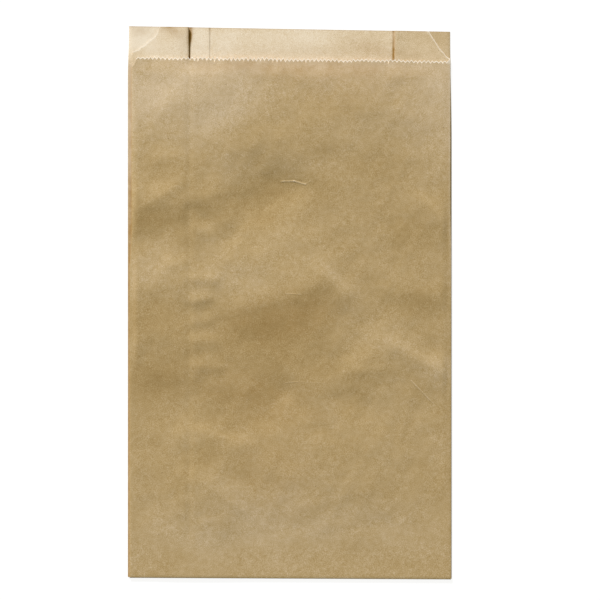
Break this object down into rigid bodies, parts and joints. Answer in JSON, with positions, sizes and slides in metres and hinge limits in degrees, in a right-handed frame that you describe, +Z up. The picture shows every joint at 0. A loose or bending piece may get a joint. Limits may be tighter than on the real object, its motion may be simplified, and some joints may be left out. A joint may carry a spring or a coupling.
{
  "type": "paper bag",
  "caption": "Flat brown kraft paper bag with pleated sides, a toothed mouth and a glued bottom tab, lying on its back as it comes off the pack.",
  "frame": {"origin": "middle of the bag's outline, on the surface that its back lies on", "axes": "+X across the bag, +Y along it towards the mouth, +Z up through the front"},
  "size_m": [0.18, 0.3076, 0.0035],
  "materials": {
    "kraft_paper": "uncoated brown kraft, faintly ribbed and smoother outside, paler and woollier inside"
  },
  "bodies": {
    "root": {"paper_bag": "kraft_paper"}
  },
  "joints": []
}
